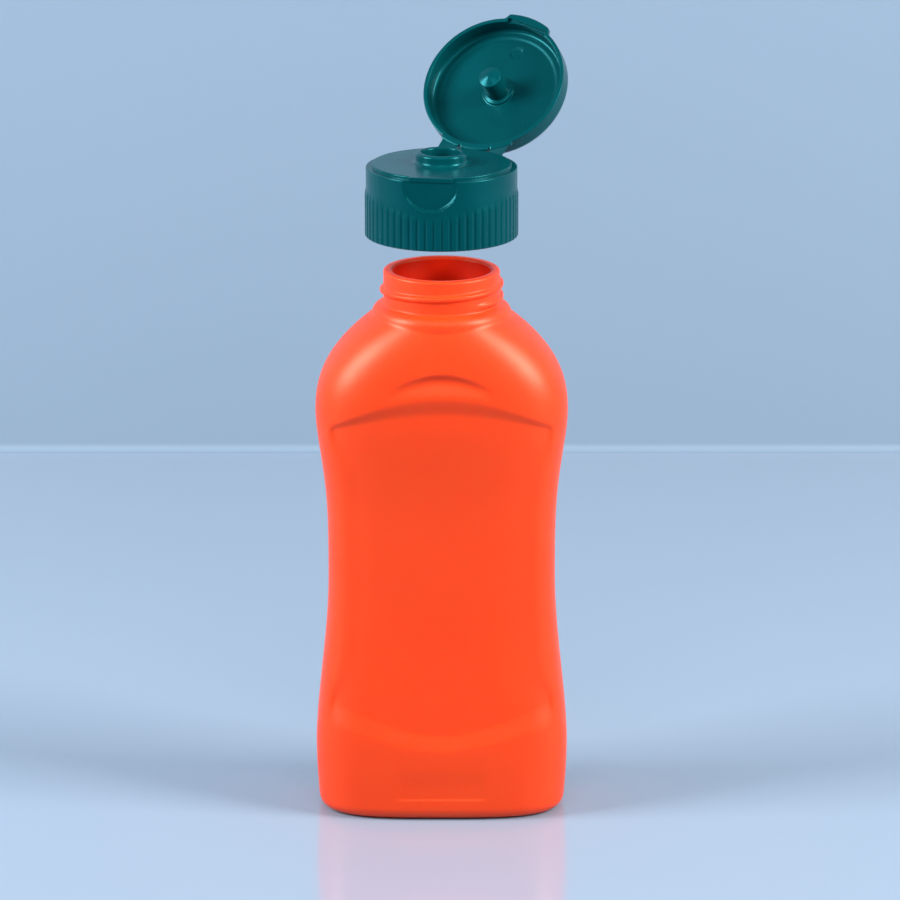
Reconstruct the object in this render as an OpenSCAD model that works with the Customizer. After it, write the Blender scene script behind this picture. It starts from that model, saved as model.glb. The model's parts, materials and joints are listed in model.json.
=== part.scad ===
// Empty plastic squeeze bottle with a flip-top screw cap. The cap is off, held just above
// the neck it screws onto, and its lid stands open.
// Origin: middle of the standing face. +Z is up, the front faces -Y, +X is to the right.

/* [Bottle body] */
// Height from the standing face to the mouth
bottle_h = 168; // [145:1:202]
// Width at the foot
foot_w = 74.6; // [66:0.2:84]
// Width at the hip, the widest place below the waist
hip_w = 76.8; // [70:0.2:90]
// Width at the waist
waist_w = 69; // [58:0.2:80]
// Width at the chest, the widest place above the waist
chest_w = 76.4; // [66:0.2:92]
// Depth at the foot
foot_d = 44.8; // [40:0.2:50]
// Depth at the hip
hip_d = 46.4; // [42:0.2:52]
// Depth at the waist
waist_d = 43.2; // [38:0.2:50]
// Depth at the chest
chest_d = 47.6; // [44:0.2:56]
// Height of the hip above the standing face
hip_z = 21; // [18:0.5:30]
// Height of the waist above the standing face
waist_z = 74; // [66:0.5:84]
// Distance from the chest up to the mouth
chest_drop = 43; // [38:0.5:52]
// Squareness of the body's outline at the foot: 2 makes an ellipse, and more makes squarer corners
foot_square = 3.4; // [2.5:0.1:4]
// Squareness at the waist
waist_square = 3.2; // [2.5:0.1:4]
// Squareness at the chest
chest_square = 2.9; // [2.2:0.1:4]
// How soon the side turns in above the hip: below 1 is sooner
hip_curve = 0.85; // [0.7:0.05:1.2]
// How late the side swells out towards the chest: above 1 is later
chest_curve = 1.85; // [1:0.05:2.2]
// How late the shoulder turns in above the chest
shoulder_curve = 2.2; // [1.8:0.1:3]
// Wall thickness of the body
wall = 1.0; // [0.8:0.1:1.4]
// Radius of the edge around the foot
foot_round = 4; // [3:0.25:5]
// Width of the flat ring that the bottle stands on
foot_land = 4; // [3:0.5:6]
// Height of the hollow inside the standing ring
foot_hollow = 0.9; // [0.4:0.1:1.5]
// Width of the slope between that ring and the hollow's flat middle
hollow_slope = 5; // [3:0.5:7]

/* [Relief on the front and back] */
// Depth of the label panel
panel_depth = 1.3; // [0.6:0.1:1.6]
// Distance from the mouth down to the top edge of the panel, at its middle
panel_top_drop = 38.7; // [34:0.1:46]
// Height of the overhang above the panel, at its middle
brow_h = 4.6; // [3.5:0.1:6]
// Share of the overhang's height that is lost from its middle to its ends
brow_fade = 0.7; // [0:0.05:0.9]
// Height of the panel's bottom edge above the standing face, at its middle
panel_bottom_z = 26.3; // [24:0.1:34]
// Height of the ledge below the panel
ledge_h = 4; // [3:0.1:6]
// How far the panel's top edge falls from its middle to its ends
arch_fall = 6.8; // [3:0.1:9]
// How far the panel's bottom edge rises from its middle to its ends
smile_rise = 7.3; // [3:0.1:9]
// Width of the panel, up to where it starts to fade out
panel_w = 62; // [50:1:64]
// Width of the crescent groove above the panel
groove_w = 34; // [20:1:40]
// Depth of the crescent groove
groove_depth = 1.1; // [0.4:0.1:1.3]
// Height of the crescent groove above the overhang, at its middle
groove_rise = 6; // [4:0.1:8]
// How far the groove's crease falls from its middle to its ends
groove_fall = 4; // [2:0.1:5]
// Width of the date code pad
pad_w = 24; // [16:1:30]
// Height of the date code pad
pad_h = 7.6; // [5:0.2:9]
// Height of the pad's lower edge above the standing face
pad_z = 6.6; // [5.5:0.1:8]
// Depth of the pad
pad_depth = 0.35; // [0.2:0.05:0.5]

/* [Neck] */
// Radius of the neck's outer wall
neck_r = 17.55; // [16:0.05:19]
// Wall thickness of the neck
neck_wall = 2.75; // [2:0.05:3]
// How far the rounded collar at the neck's foot stands out from its wall
collar_flare = 3.45; // [3:0.05:4.5]
// Radius of the collar's rounding
collar_round = 3.2; // [2:0.1:3.6]
// Distance from the mouth down to the collar's rounding
collar_drop = 13.6; // [12:0.1:15]
// Size of the small fillet between the collar and the neck's wall
collar_fillet = 0.6; // [0.3:0.1:1]
// Radius of the rim's rounding
rim_round = 0.8; // [0.4:0.1:1.2]

/* [Screw thread] */
// Rise of the thread in one turn
pitch = 3.8; // [3:0.1:4.5]
// Height of the ridge above the neck's wall
thread_h = 1.1; // [0.8:0.05:1.3]
// Width of the ridge at its root
thread_root_w = 2.4; // [1.8:0.1:2.8]
// Width of the ridge at its crest
thread_crest_w = 0.9; // [0.6:0.1:1.2]
// Turn at which the ridge starts, seen from above from the right-hand side
thread_start = -60; // [-180:5:180]
// Turn that the ridge covers
thread_sweep = 490; // [360:5:540]
// Turn over which the ridge fades out at each end
thread_run_out = 35; // [20:5:60]
// Turn that the cap's own ridge is short of the neck's
cap_thread_short = 130; // [90:5:200]
// Distance from the mouth down to the ridge's lower end
thread_drop = 8.8; // [7.5:0.1:9.5]
// Radial clearance between the neck's thread and the cap's
thread_gap = 0.35; // [0.2:0.05:0.6]

/* [Cap] */
// Gap between the lifted cap and the mouth
cap_lift = 10.6; // [5:0.1:20]
// Height of the cap to the ledge that the lid closes on
cap_h = 21; // [18:0.5:26]
// Thickness of the cap's outer wall
cap_wall = 1.5; // [1.2:0.1:1.8]
// Thickness of the threaded inner skirt
skirt_wall = 1.2; // [1:0.1:1.6]
// Gap between the inner skirt and the outer wall
skirt_gap = 1.05; // [0.8:0.05:2]
// Distance from the foot of the cap up to the foot of the inner skirt
skirt_foot = 4; // [2:0.5:6]
// Thickness of the top
top_t = 1.4; // [1.2:0.1:1.8]
// Height of the raised plate above the ledge
plate_h = 1; // [0.6:0.1:1.4]
// Radius of the small edges
edge_round = 0.5; // [0.3:0.05:0.6]
// Thickness of the ring that plugs the mouth
plug_t = 1; // [0.8:0.1:1.4]
// Length of the ring that plugs the mouth
plug_h = 3; // [2:0.5:4]
// Clearance between that ring and the mouth
plug_gap = 0.15; // [0.1:0.05:0.3]
// Number of grip ribs
ribs = 58; // [40:1:72]
// Height of a grip rib above the wall
rib_h = 0.4; // [0.3:0.05:0.6]
// Width of a grip rib
rib_w = 1.4; // [0.8:0.1:1.6]
// Length of the ribs at the front and back
rib_short = 9.1; // [6:0.1:11]
// Length of the ribs at the sides
rib_long = 15.4; // [12:0.1:17]

/* [Spout] */
// Radius of the spout
spout_r = 7.7; // [6.5:0.1:9]
// Height of the spout above the raised plate
spout_h = 3.4; // [2.5:0.1:3.8]
// Radius of the fillet at the spout's foot
spout_fillet = 1.3; // [0.8:0.1:1.6]
// Radius of the spout's outer rim
spout_round = 0.9; // [0.4:0.1:1]
// Radius of the hole at the spout's rim
spout_mouth_r = 5.8; // [4.8:0.1:6.2]
// Radius of the hole where the spout meets the inside of the cap
spout_throat_r = 4.3; // [4:0.1:4.7]

/* [Lid] */
// Wall thickness of the lid
lid_wall = 1.2; // [1:0.1:1.4]
// Clearance between the lid and the raised plate
lid_gap = 0.25; // [0.15:0.05:0.4]
// How far the lid's wall stands in from the cap's wall
lid_inset = 0.35; // [0:0.05:0.6]
// Height of the lid
lid_h = 7; // [6.5:0.1:9]
// Thickness of the lid's top
lid_top_t = 1.4; // [1.2:0.1:1.6]
// Radius of the lid's outer top edge
lid_round = 2.6; // [1:0.1:3]
// Width of the thicker ring around the inside of the top
lid_step_w = 2.6; // [1.5:0.1:4]
// Height of that ring's step
lid_step_h = 0.5; // [0.3:0.1:0.8]
// Gap under the closed lid
lid_seat_gap = 0.15; // [0.1:0.05:0.3]
// Radius of the pin that plugs the spout
pin_r = 3.5; // [3:0.1:3.6]
// Length of the pin
pin_l = 10; // [7:0.1:10.5]
// Length of the pin's cone
pin_tip_l = 1.6; // [1:0.1:2.5]
// Radius of the pin's end
pin_tip_r = 2.1; // [1.5:0.1:2.5]
// Radius of the collar at the pin's root
pin_collar_r = 4.8; // [4.2:0.1:5.2]
// Height of the collar at the pin's root
pin_collar_h = 0.6; // [0.4:0.1:0.8]
// Radius of the round mark left by the mould's ejector
ejector_r = 2; // [1:0.1:2.5]
// Distance of that mark from the pin
ejector_reach = 12.5; // [9:0.5:15]

/* [Thumb recess and tab] */
// Turn of the recess and tab from the front, towards the left
recess_turn = 9; // [0:1:24]
// Width of the recess
recess_w = 16.9; // [12:0.1:20]
// Height of the recess
recess_h = 8.2; // [6:0.1:9]
// Depth of the recess's flat floor at its middle
recess_depth = 1.85; // [1:0.05:1.9]
// Distance from the ledge down to the recess's widest place
recess_drop = 1; // [0.6:0.1:1.4]
// Width of the tongue that carries the raised plate out over the recess
tongue_w = 13.2; // [9:0.2:15]
// How far the tongue's straight front edge stands out from the plate
tongue_reach = 0.25; // [0.1:0.05:0.4]
// Thickness of the tongue
tongue_t = 1.4; // [1:0.1:1.8]
// Clearance between the tongue and its notch in the lid
tongue_gap = 0.3; // [0.2:0.05:0.4]
// How far the tab stands out from the lid
tab_reach = 1.5; // [1:0.1:2]
// Half of the angle that the tab covers
tab_half_angle = 21.5; // [15:0.5:28]
// Angle that each sloping end of the tab takes up
tab_slope = 5; // [2:0.5:8]
// Thickness of the tab
tab_t = 1.5; // [1:0.1:2]

/* [Hinge] */
// Turn of the hinge from the back, towards the right
hinge_turn = 24; // [0:1:40]
// Angle between the lid as shown and the closed lid
open_angle = 130; // [90:1:140]
// How far the hinge line stands out from the cap's wall
hinge_reach = 0.65; // [0.5:0.05:1]
// Width of the hinge's middle strap
strap_w = 9; // [6:0.5:12]
// Gap between each flange and the hinge line
hinge_gap = 0.2; // [0.15:0.05:0.3]
// Thickness of the hinge's flanges
flange_t = 1.2; // [0.8:0.1:1.6]

/* [Hidden] */

orange = [0.96, 0.27, 0.12];
teal = [0.04, 0.36, 0.39];
$fn = 96;
around = 64;          // columns of the bottle's outer skin
around_inside = 32;   // columns of the bottle's inner skin
eps = 0.01;

mouth_r = neck_r - neck_wall;
collar_r = neck_r + collar_flare;
chest_z = bottle_h - chest_drop;
collar_z = bottle_h - collar_drop;
shoulder_top_z = collar_z + 0.6;
shoulder_top_r = collar_r - 0.6;
panel_top_z = bottle_h - panel_top_drop;
cavity_top_z = collar_z - collar_round;
thread_z = bottle_h - thread_drop;
thread_sink = 0.6;    // how deep the ridge's root lies in the wall
crest_sink = 0.15;    // how deep its crest lies there at both ends
cap_thread_rise = 2;  // from the inner skirt's foot up to the cap's own ridge

cap_z = bottle_h + cap_lift;
bore_r = neck_r + thread_h + thread_gap;
skirt_r = bore_r + skirt_wall;
cap_in_r = skirt_r + skirt_gap;
cap_r = cap_in_r + cap_wall;
plate_top = cap_h + plate_h;
lid_r = cap_r - lid_inset;
lid_in_r = lid_r - lid_wall;
plate_r = lid_in_r - lid_gap;
tongue_front = plate_r + tongue_reach;
lid_ceiling = lid_h - lid_top_t;

hinge_r = cap_r + hinge_reach;
hinge_z = cap_h + lid_seat_gap;
tab_turn = hinge_turn - recess_turn;

// ---- Small helpers ----

function clamp01(t) = min(max(t, 0), 1);
// Smooth step from 0 at a to 1 at b
function ease(x, a, b) = let (t = clamp01((x - a) / (b - a))) t * t * (3 - 2 * t);
function mix(a, b, t) = a + (b - a) * t;
// Points of an arc around a centre
function arc(cx, cy, r, from, to, steps = 5) = [
    for (i = [0:steps]) let (a = mix(from, to, i / steps)) [cx + r * cos(a), cy + r * sin(a)]
];
function flatten(lists) = [for (list = lists) each list];
// Values from a to b, in equal steps, without b
function steps_to(a, b, n) = [for (i = [0:n - 1]) mix(a, b, i / n)];

// Triangles of a closed tube: rows of rings, each ring running anticlockwise seen from the last row
function tube_faces(rows, cols) = concat(
    [[for (c = [0:cols - 1]) c]],
    flatten([for (r = [0:rows - 2], c = [0:cols - 1]) let (
        a = r * cols + c,
        b = r * cols + (c + 1) % cols
    ) [[a, a + cols, b], [b, a + cols, b + cols]]]),
    [[for (c = [cols - 1:-1:0]) (rows - 1) * cols + c]]
);

module tube(rings) {
    polyhedron(flatten(rings), tube_faces(len(rings), len(rings[0])), convexity = 6);
}

// ---- Bottle body ----

// A measure at height z from its values at the foot, hip, waist, chest and shoulder top
function at_height(z, foot, hip, waist, chest, top) =
    z < hip_z ? mix(foot, hip, sin(90 * max(z, 0) / hip_z)) :
    z < waist_z ? mix(hip, waist, ease(pow((z - hip_z) / (waist_z - hip_z), hip_curve), 0, 1)) :
    z < chest_z ?
        mix(waist, chest, ease(pow((z - waist_z) / (chest_z - waist_z), chest_curve), 0, 1)) :
    mix(chest, top, pow(clamp01((z - chest_z) / (shoulder_top_z - chest_z)), shoulder_curve));

function half_width(z) = at_height(z, foot_w, hip_w, waist_w, chest_w, 2 * shoulder_top_r) / 2;
function half_depth(z) = at_height(z, foot_d, hip_d, waist_d, chest_d, 2 * shoulder_top_r) / 2;
function squareness(z) = at_height(z, foot_square, foot_square, waist_square, chest_square, 2);
// Radius of a unit superellipse in direction a
function roundness(a, n) = pow(pow(abs(cos(a)), n) + pow(abs(sin(a)), n), -1 / n);

// Distance across the front from its middle, for a column at angle a
function across(a) = abs(waist_w / 2 * roundness(a, waist_square) * cos(a));

// Rows of the skin bend down with the panel's top edge and up with its bottom edge
function bent(u, x) =
    u
    - arch_fall * pow(min(x / (panel_w / 2), 1.1), 2)
        * ease(u, waist_z + 10, panel_top_z - 8)
        * (1 - ease(u, panel_top_z + 12, collar_z - 1))
    + smile_rise * pow(sin(90 * min(x / (panel_w / 2 + 5), 1)), 2)
        * ease(u, pad_z + pad_h + 1, panel_bottom_z - ledge_h)
        * (1 - ease(u, panel_bottom_z + 3, waist_z - 12));

// Inward depth of the label panel, with an overhang above it and a ledge below it
function panel_relief(u, x) = let (
    brow = brow_h * (1 - brow_fade * pow(min(x / (panel_w / 2), 1), 2))
)
    panel_depth
        * (1 - ease(x, panel_w / 2 - 1, panel_w / 2 + 3))
        * ease(u, panel_bottom_z - ledge_h, panel_bottom_z)
        * (1 - ease(u, panel_top_z, panel_top_z + brow));

// Inward depth of the crescent groove: steep above its crease and easing out below it
function groove_relief(u, x) = let (
    side = pow(min(x / (groove_w / 2), 1), 2),
    crease = panel_top_z + brow_h + groove_rise - groove_fall * side
)
    groove_depth * (1 - side)
        * (1 - ease(u, crease - 1, crease + 1.2))
        * ease(u, panel_top_z + brow_h - 0.4, crease - 1);

// Inward depth of the date code pad, on the front only
function pad_relief(u, x, a) =
    sin(a) > 0 ? 0 :
    pad_depth * (1 - ease(x, pad_w / 2 - 0.6, pad_w / 2 + 0.6))
        * ease(u, pad_z - 0.3, pad_z + 0.3)
        * (1 - ease(u, pad_z + pad_h - 1, pad_z + pad_h));

// A point of the skin, for a row value u and a column at angle a, set in by inset
function skin(u, a, inset = 0) = let (
    x = across(a),
    z = bent(u, x),
    reach = roundness(a, squareness(z)),
    drop = panel_relief(u, x) + groove_relief(u, x) + pad_relief(u, x, a),
    depth = max(half_depth(z) - inset, 1) * reach * sin(a)
)
    [(half_width(z) - inset) * reach * cos(a), depth - sign(sin(a)) * drop, z];

// A ring at one height, drawn in from the skin by inset
function level_ring(z, inset, cols) = [
    for (c = [0:cols - 1]) let (a = 360 * c / cols, reach = roundness(a, squareness(z)))
        [(half_width(z) - inset) * reach * cos(a), (half_depth(z) - inset) * reach * sin(a), z]
];
function moved_up(ring, dz) = [for (p = ring) p + [0, 0, dz]];
function skin_ring(u, cols, inset) = [for (c = [0:cols - 1]) skin(u, 360 * c / cols, inset)];
function round_ring(z, r, cols) = [
    for (c = [0:cols - 1]) let (a = 360 * c / cols) [r * cos(a), r * sin(a), z]
];

// Row values of the skin above the foot's rounding, as far apart as coarse times the finest
function skin_rows(coarse) = concat(
    steps_to(panel_bottom_z - ledge_h, panel_bottom_z, 4 / coarse),
    steps_to(panel_bottom_z, panel_top_z, 16 / coarse),
    steps_to(panel_top_z, panel_top_z + brow_h, 4 / coarse),
    steps_to(panel_top_z + brow_h, panel_top_z + brow_h + groove_rise + 2, 8 / coarse),
    steps_to(panel_top_z + brow_h + groove_rise + 2, shoulder_top_z, 8 / coarse),
    [shoulder_top_z]
);
pad_rows = [
    foot_round, pad_z - 0.3, pad_z + 0.3, pad_z + pad_h - 1, pad_z + pad_h, pad_z + pad_h + 2
];

// The foot's rounding, from the standing ring up to the side
function foot_rings(cols, round, lift, inset) = [
    for (i = [0:3]) let (a = 90 * i / 4)
        moved_up(level_ring(round * (1 - cos(a)), inset + round * (1 - sin(a)), cols), lift)
];

module body_outside() {
    // The standing ring, with the shallow hollow inside it
    hollow = [
        moved_up(level_ring(0, foot_round + foot_land + hollow_slope, around), foot_hollow),
        level_ring(0, foot_round + foot_land, around)
    ];
    tube(concat(
        hollow,
        foot_rings(around, foot_round, 0, 0),
        [for (u = concat(pad_rows, skin_rows(1))) skin_ring(u, around, 0)]
    ));
}

module body_inside() {
    floor_z = wall + foot_hollow;
    rows = [for (u = skin_rows(2)) if (u < cavity_top_z - 1) u];
    tube(concat(
        foot_rings(around_inside, foot_round, floor_z, wall),
        [skin_ring(foot_round + floor_z + 1, around_inside, wall)],
        [for (u = rows) skin_ring(u, around_inside, wall)],
        [level_ring(cavity_top_z, wall, around_inside)],
        [round_ring(cavity_top_z + collar_round - 0.2, mouth_r - 0.5, around_inside)]
    ));
}

// ---- Neck and thread ----

module neck() {
    centre_r = collar_r - collar_round;
    rotate_extrude()
        polygon(concat(
            [[0, cavity_top_z - 1], [collar_r, cavity_top_z - 1]],
            arc(centre_r, collar_z, collar_round, 0, 90, 6),
            [[neck_r, collar_z + collar_round + collar_fillet]],
            arc(neck_r - rim_round, bottle_h - rim_round, rim_round, 0, 90, 4),
            [[0, bottle_h]]
        ));
}

module mouth() {
    rotate_extrude()
        polygon(concat(
            [[0, cavity_top_z + 2.4], [mouth_r, cavity_top_z + 2.4]],
            arc(mouth_r + rim_round, bottle_h - rim_round, rim_round, 180, 90, 4),
            [[mouth_r + rim_round, bottle_h + 1], [0, bottle_h + 1]]
        ));
}

// A helical ridge on a wall of radius wall_r. It stands out where height is above 0 and inwards
// where it is below 0, and its crest sinks into the wall at both ends.
module ridge(wall_r, height, sweep, z) {
    side = sign(height);
    root = [wall_r - thread_sink * side, thread_root_w + thread_sink];
    segments = ceil(sweep / 10);
    tube([for (i = [0:segments]) let (
        turn = sweep * i / segments,
        rise = min(ease(turn, 0, thread_run_out), 1 - ease(turn, sweep - thread_run_out, sweep)),
        a = thread_start + turn,
        h = z + pitch * turn / 360,
        crest = [mix(wall_r - crest_sink * side, wall_r + height, rise), thread_crest_w],
        inner = side > 0 ? root : crest,
        outer = side > 0 ? crest : root
    ) [
        [inner[0] * cos(a), inner[0] * sin(a), h + inner[1] / 2],
        [outer[0] * cos(a), outer[0] * sin(a), h + outer[1] / 2],
        [outer[0] * cos(a), outer[0] * sin(a), h - outer[1] / 2],
        [inner[0] * cos(a), inner[0] * sin(a), h - inner[1] / 2]
    ]]);
}

module neck_thread() {
    ridge(neck_r, thread_h, thread_sweep, thread_z);
}

module bottle() {
    color(orange)
        difference() {
            union() {
                body_outside();
                neck();
                neck_thread();
            }
            body_inside();
            mouth();
        }
}

// ---- Cap: drawn with its foot at z = 0 and the hinge towards +Y ----

module cap_shell() {
    difference() {
        rotate_extrude()
            polygon(concat(
                [[0, 0], [cap_r - edge_round, 0]],
                arc(cap_r - edge_round, edge_round, edge_round, -90, 0, 3),
                arc(cap_r - edge_round, cap_h - edge_round, edge_round, 0, 90, 3),
                [[plate_r, cap_h]],
                arc(plate_r - edge_round, plate_top - edge_round, edge_round, 0, 90, 3),
                [[spout_r + spout_fillet, plate_top]],
                arc(spout_r + spout_fillet, plate_top + spout_fillet, spout_fillet, 270, 180, 4),
                arc(spout_r - spout_round, plate_top + spout_h - spout_round, spout_round, 0, 90, 4),
                [[0, plate_top + spout_h]]
            ));
        cap_hollow();
        spout_hole();
    }
}

module cap_hollow() {
    under = plate_top - top_t;
    plug_r = mouth_r - plug_gap;
    // Space between the outer wall and the threaded skirt, and below the skirt
    rotate_extrude()
        polygon([
            [0, -1], [cap_in_r, -1], [cap_in_r, cap_h - top_t], [skirt_r, cap_h - top_t],
            [skirt_r, skirt_foot], [0, skirt_foot]
        ]);
    // Space inside the skirt, around and inside the plug ring
    rotate_extrude()
        polygon([
            [0, 0], [bore_r, 0], [bore_r, cap_h - top_t], [plug_r, cap_h - top_t],
            [plug_r - 0.3, cap_h - top_t - plug_h], [plug_r - plug_t, cap_h - top_t - plug_h],
            [plug_r - plug_t, under], [0, under]
        ]);
}

module spout_hole() {
    rim = plate_top + spout_h;
    rotate_extrude()
        polygon(concat(
            [[0, cap_h - 2 * top_t], [spout_throat_r, cap_h - 2 * top_t]],
            [[spout_throat_r, plate_top - top_t + 0.4]],
            arc(spout_mouth_r + edge_round, rim - edge_round, edge_round, 180, 90, 3),
            [[spout_mouth_r + edge_round, rim + 1], [0, rim + 1]]
        ));
}

module cap_thread() {
    ridge(bore_r, -thread_h, thread_sweep - cap_thread_short, skirt_foot + cap_thread_rise);
}

// The ribs stand on a low arch at the front and back, and reach higher at the sides
module grip_ribs() {
    for (i = [0:ribs - 1]) {
        turn = 360 * i / ribs;
        length = mix(rib_short, rib_long, pow(abs(sin(turn)), 1.6));
        rotate(hinge_turn - 90 + turn)
            translate([cap_r, 0, 0])
                linear_extrude(length)
                    polygon([
                        [-0.3, -rib_w / 2], [0, -rib_w / 2], [rib_h, -rib_w / 5],
                        [rib_h, rib_w / 5], [0, rib_w / 2], [-0.3, rib_w / 2]
                    ]);
    }
}

// A U-shaped pocket in the wall, open at the ledge, with a flat floor
module thumb_pocket() {
    half = recess_w / 2;
    rotate(tab_turn)
        translate([0, recess_depth - cap_r, cap_h - recess_drop])
            rotate([90, 0, 0])
                linear_extrude(recess_depth + 2)
                    polygon(concat(
                        [[half, recess_drop + 1], [-half, recess_drop + 1]],
                        [for (i = [0:16]) let (a = 180 + 180 * i / 16) [half * cos(a), recess_h * sin(a)]]
                    ));
}

// Solid wall behind the pocket, which joins the outer wall to the skirt
module pocket_backing() {
    reach = asin((recess_w / 2 + cap_wall) / cap_r);
    foot = cap_h - recess_drop - recess_h - cap_wall;
    rotate(tab_turn - 90 - reach)
        rotate_extrude(angle = 2 * reach)
            translate([skirt_r - skirt_wall / 2, foot])
                square([cap_in_r - skirt_r + skirt_wall, cap_h - top_t - foot + 0.5]);
}

// The raised plate's tongue, which stands out over the pocket
module tongue() {
    rotate(tab_turn)
        translate([-tongue_w / 2, -tongue_front, plate_top - tongue_t])
            cube([tongue_w, 3, tongue_t]);
}

// The cap's half of the hinge: a narrow shelf that reaches out to the hinge line
module cap_flange() {
    reach = hinge_reach - hinge_gap;
    translate([-strap_w / 2, 0, 0])
        rotate([90, 0, 90])
            linear_extrude(strap_w)
                polygon([
                    [cap_r - 1, cap_h - 0.15], [cap_r + reach, cap_h - 0.15],
                    [cap_r + reach, cap_h - flange_t], [cap_r - 1, cap_h - flange_t - reach - 1]
                ]);
}

module cap() {
    color(teal)
        translate([0, 0, cap_z])
            rotate(-hinge_turn)
                union() {
                    difference() {
                        union() {
                            cap_shell();
                            cap_thread();
                            grip_ribs();
                            pocket_backing();
                            cap_flange();
                        }
                        thumb_pocket();
                    }
                    tongue();
                }
}

// ---- Lid: drawn closed with its rim at z = 0 and the hinge towards +Y ----

module lid_shell() {
    inner_round = 1;
    step_r = lid_in_r - lid_step_w;
    ring_ceiling = lid_ceiling - lid_step_h;
    rotate_extrude()
        polygon(concat(
            [[lid_in_r + edge_round / 2, 0], [lid_r - edge_round / 2, 0], [lid_r, edge_round / 2]],
            arc(lid_r - lid_round, lid_h - lid_round, lid_round, 0, 90, 6),
            [[0, lid_h]],
            [[0, lid_ceiling], [step_r - 0.3, lid_ceiling], [step_r, ring_ceiling]],
            arc(lid_in_r - inner_round, ring_ceiling - inner_round, inner_round, 90, 0, 4),
            [[lid_in_r, edge_round / 2]]
        ));
}

module lid_pin() {
    root = lid_ceiling + 0.2;
    tip = lid_ceiling - pin_l;
    rotate_extrude()
        polygon([
            [0, root], [pin_collar_r, root], [pin_collar_r, lid_ceiling - pin_collar_h + 0.2],
            [pin_collar_r - 0.2, lid_ceiling - pin_collar_h], [pin_r, lid_ceiling - pin_collar_h],
            [pin_r, tip + pin_tip_l], [pin_tip_r, tip + 0.3], [pin_tip_r - 0.4, tip], [0, tip]
        ]);
}

// The tab that the thumb lifts: a ledge along the rim with sloping ends
module lid_tab() {
    rotate(tab_turn - 90)
        linear_extrude(tab_t)
            polygon(concat(
                arc(0, 0, lid_r - 0.4, -tab_half_angle, tab_half_angle, 16),
                arc(0, 0, lid_r + tab_reach, tab_half_angle - tab_slope, tab_slope - tab_half_angle, 16)
            ));
}

module ejector_mark() {
    rotate(tab_turn * 0.8 - 90)
        translate([ejector_reach, 0, lid_ceiling - 1])
            cylinder(r = ejector_r, h = 1.25);
}

// Room in the rim for the cap's tongue, which the tab covers
module tongue_notch() {
    rotate(tab_turn)
        translate([-tongue_w / 2 - tongue_gap, -tongue_front - tongue_gap, -1])
            cube([tongue_w + 2 * tongue_gap, 3, plate_h - lid_seat_gap + 0.2 + 1]);
}

// The lid's half of the hinge, which reaches to the hinge line
module lid_flange() {
    reach = hinge_r - hinge_gap;
    translate([-strap_w / 2, 0, 0])
        rotate([90, 0, 90])
            linear_extrude(strap_w)
                polygon([
                    [lid_r - 0.6, 0], [reach, 0], [reach, flange_t * 0.6],
                    [lid_r - 0.6, flange_t + 1]
                ]);
}

module closed_lid() {
    difference() {
        union() {
            lid_shell();
            lid_pin();
            lid_tab();
            lid_flange();
        }
        ejector_mark();
        tongue_notch();
    }
}

module lid() {
    color(teal)
        translate([0, 0, cap_z])
            rotate(-hinge_turn)
                translate([0, hinge_r, hinge_z])
                    rotate([-open_angle, 0, 0])
                        translate([0, -hinge_r, 0])
                            closed_lid();
}

bottle();
cap();
lid();
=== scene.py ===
"""Looks of an empty squeeze bottle with a flip-top screw cap that hovers above its neck."""
import json
import math

import bpy
import numpy as np
from mathutils import Matrix, Vector


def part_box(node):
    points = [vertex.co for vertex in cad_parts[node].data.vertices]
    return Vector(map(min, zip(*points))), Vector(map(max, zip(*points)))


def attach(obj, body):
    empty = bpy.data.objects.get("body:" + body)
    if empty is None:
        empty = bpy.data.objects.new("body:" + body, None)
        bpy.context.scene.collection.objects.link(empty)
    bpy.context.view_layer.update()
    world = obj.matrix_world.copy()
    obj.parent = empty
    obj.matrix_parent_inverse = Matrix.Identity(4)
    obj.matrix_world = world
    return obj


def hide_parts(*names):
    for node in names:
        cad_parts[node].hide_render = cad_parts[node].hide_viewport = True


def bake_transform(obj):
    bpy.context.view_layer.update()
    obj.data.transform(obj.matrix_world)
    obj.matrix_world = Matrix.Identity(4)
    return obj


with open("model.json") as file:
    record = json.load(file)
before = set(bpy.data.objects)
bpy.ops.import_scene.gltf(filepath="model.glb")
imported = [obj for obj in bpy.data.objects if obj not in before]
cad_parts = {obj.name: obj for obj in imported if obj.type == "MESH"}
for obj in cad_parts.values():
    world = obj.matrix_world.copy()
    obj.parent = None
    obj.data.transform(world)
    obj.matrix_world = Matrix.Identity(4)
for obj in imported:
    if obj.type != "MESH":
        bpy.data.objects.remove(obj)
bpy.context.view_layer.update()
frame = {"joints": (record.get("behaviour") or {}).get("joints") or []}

MM = 0.001

# ---- Sizes in millimetres. The frame gives the places, and these shape the surfaces between them. ----

bottle_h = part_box("bottle")[1].z / MM
cap_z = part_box("cap")[0].z / MM

foot_w, hip_w, waist_w, chest_w = 74.6, 76.8, 69.0, 76.4
foot_d, hip_d, waist_d, chest_d = 44.8, 46.4, 43.2, 47.6
foot_square, waist_square, chest_square = 3.4, 3.2, 2.9
hip_curve, chest_curve, shoulder_curve = 0.85, 1.85, 2.2
hip_z, waist_z = 21.0, 74.0
chest_z = bottle_h - 43.0
wall = 1.0
foot_round, foot_land, foot_hollow, hollow_slope = 4.0, 4.0, 0.9, 5.0

pad_w, pad_h, pad_z, pad_depth = 24.0, 10.4, 6.9, 0.3
pad_edge, pad_side, pad_fade = 0.3, 0.8, 7.0
panel_depth, panel_w = 1.3, 62.0
panel_side_crisp, panel_side_soft, panel_side_out = 1.4, 7.0, 0.7
panel_top_z, brow_h, brow_fade = bottle_h - 40.2, 6.1, 0.62
panel_bottom_z, ledge_h, ledge_growth = 27.2, 4.9, 2.2
arch_fall, smile_rise, smile_start = 6.5, 7.3, pad_z + 8.6
groove_w, groove_depth, groove_rise, groove_fall = 31.0, 1.3, 6.0, 3.4

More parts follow.
